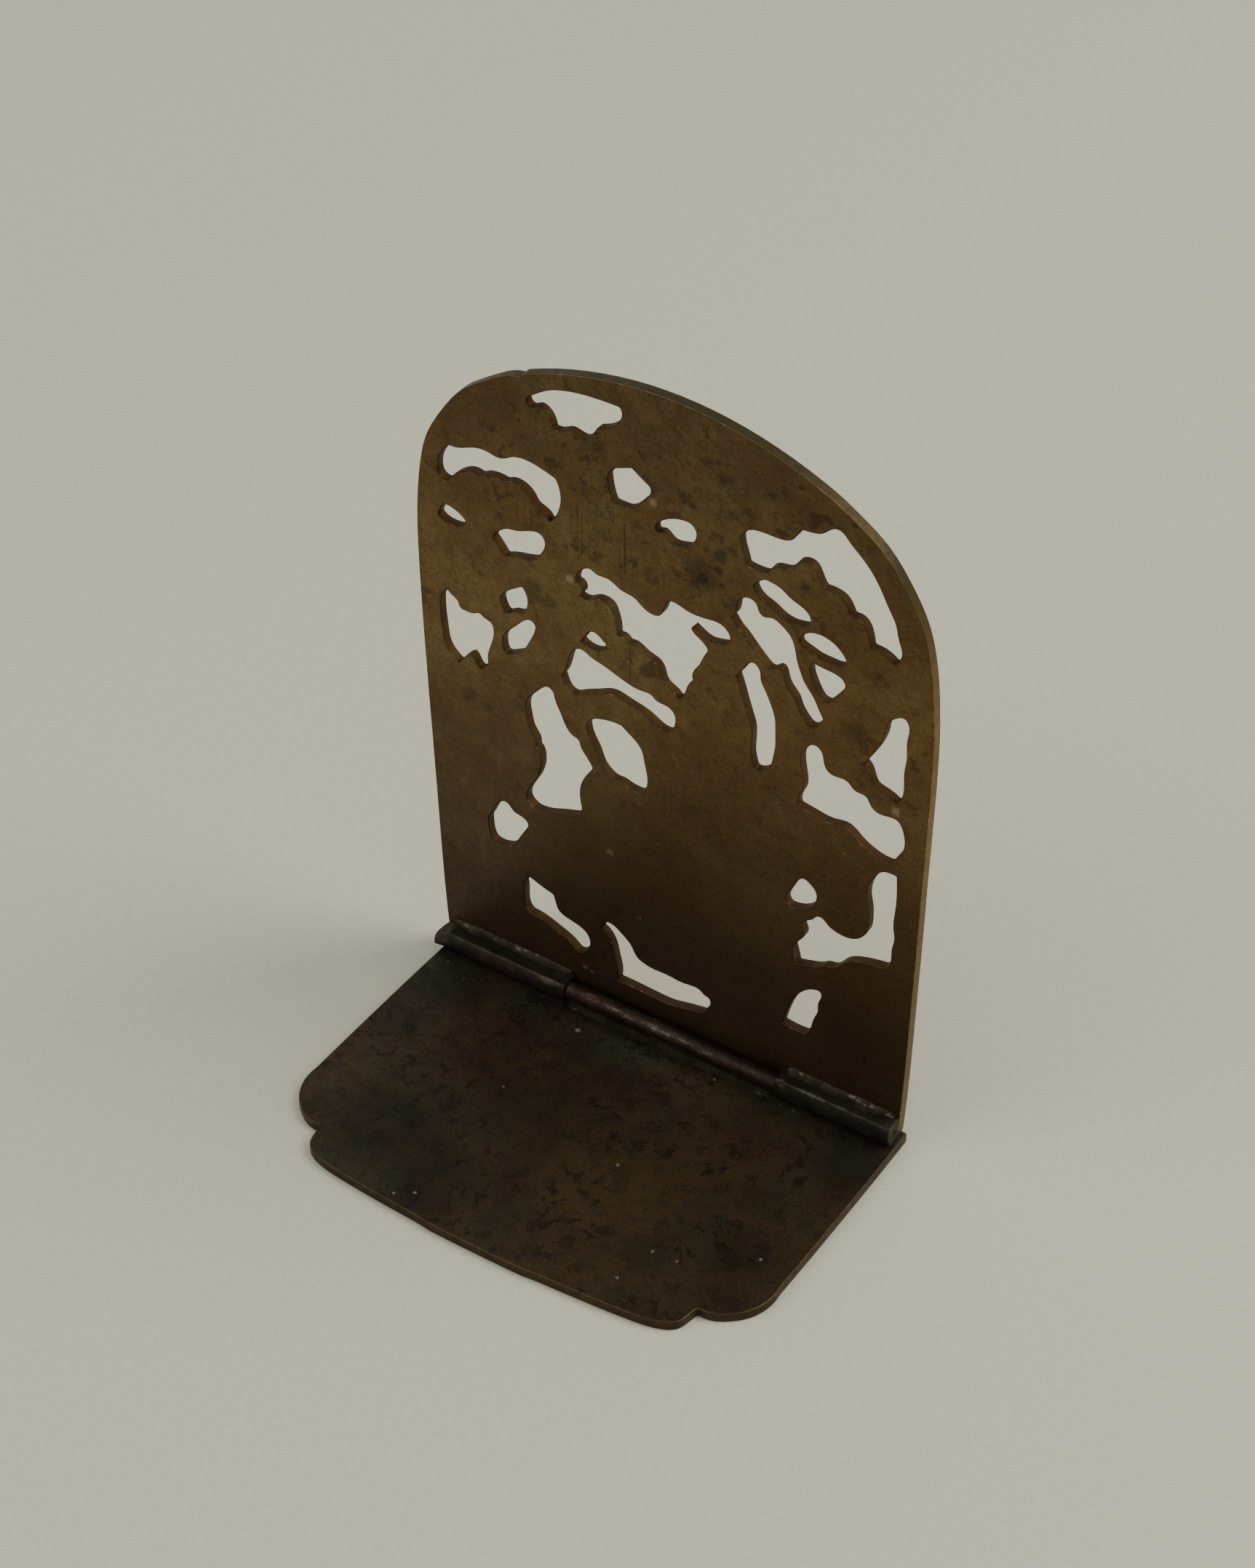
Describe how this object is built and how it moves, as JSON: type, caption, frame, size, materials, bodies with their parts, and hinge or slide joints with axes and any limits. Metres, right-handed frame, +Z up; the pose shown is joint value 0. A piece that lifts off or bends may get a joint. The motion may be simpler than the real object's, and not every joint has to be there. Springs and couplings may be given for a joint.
{
  "type": "photo album stand",
  "caption": "Small folding stand: flat base plate with lobed corners and a hinged upright plate pierced with a leaf-and-branch pattern, for propping an album or books.",
  "frame": {"origin": "on the surface that the stand rests on, under the middle of the upright's width and of the base's depth", "axes": "+Z up, -Y towards the front of the base, +X to the right seen from the front"},
  "size_m": [0.1016, 0.0632, 0.1407],
  "materials": {
    "upright_brass": "aged olive-brown patina over brass, satin, lighter worn edges",
    "base_brass": "dark brown patina over brass with green and purple tints, satin",
    "knuckle_brass": "dull grey-brown brass with rubbed streaks",
    "pin_brass": "worn bright wire ends",
    "solder": "dull grey soft solder, slightly rough"
  },
  "bodies": {
    "base": {"base_plate": "base_brass", "centre_knuckle": "knuckle_brass", "centre_solder_bead": "solder", "hinge_pin": "pin_brass"},
    "upright": {"upright_panel": "upright_brass", "left_knuckle": "knuckle_brass", "right_knuckle": "knuckle_brass", "left_solder_bead": "solder", "right_solder_bead": "solder"}
  },
  "joints": [
    {"name": "upright_fold", "type": "hinge", "parent": "base", "child": "upright", "pos_m": [0, 0.0276, 0.00445], "axis": [1, 0, 0], "range_deg": [0, 90]}
  ]
}
